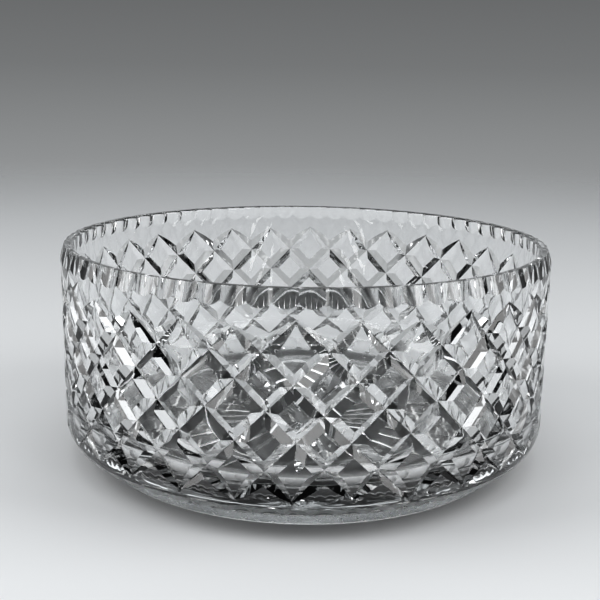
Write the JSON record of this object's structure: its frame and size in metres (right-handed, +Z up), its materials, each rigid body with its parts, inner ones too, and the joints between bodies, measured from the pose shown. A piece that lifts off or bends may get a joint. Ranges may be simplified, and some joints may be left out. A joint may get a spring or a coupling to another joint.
{
  "type": "punch bowl",
  "caption": "Wide drum-shaped cut crystal punch bowl with a lattice of diamonds, a scalloped rim, a fluted lower corner and a star-cut base.",
  "frame": {"origin": "centre of the standing ring, on the plane the bowl rests on", "axes": "+Z up along the bowl's axis; -Y faces the viewer; +X to the viewer's right; a top point of the diamond lattice lies on -Y"},
  "size_m": [0.25, 0.25, 0.111],
  "materials": {
    "crystal": "polished clear lead crystal, cut facets, lightly scuffed standing ring"
  },
  "bodies": {
    "root": {"bowl": "crystal"}
  },
  "joints": []
}
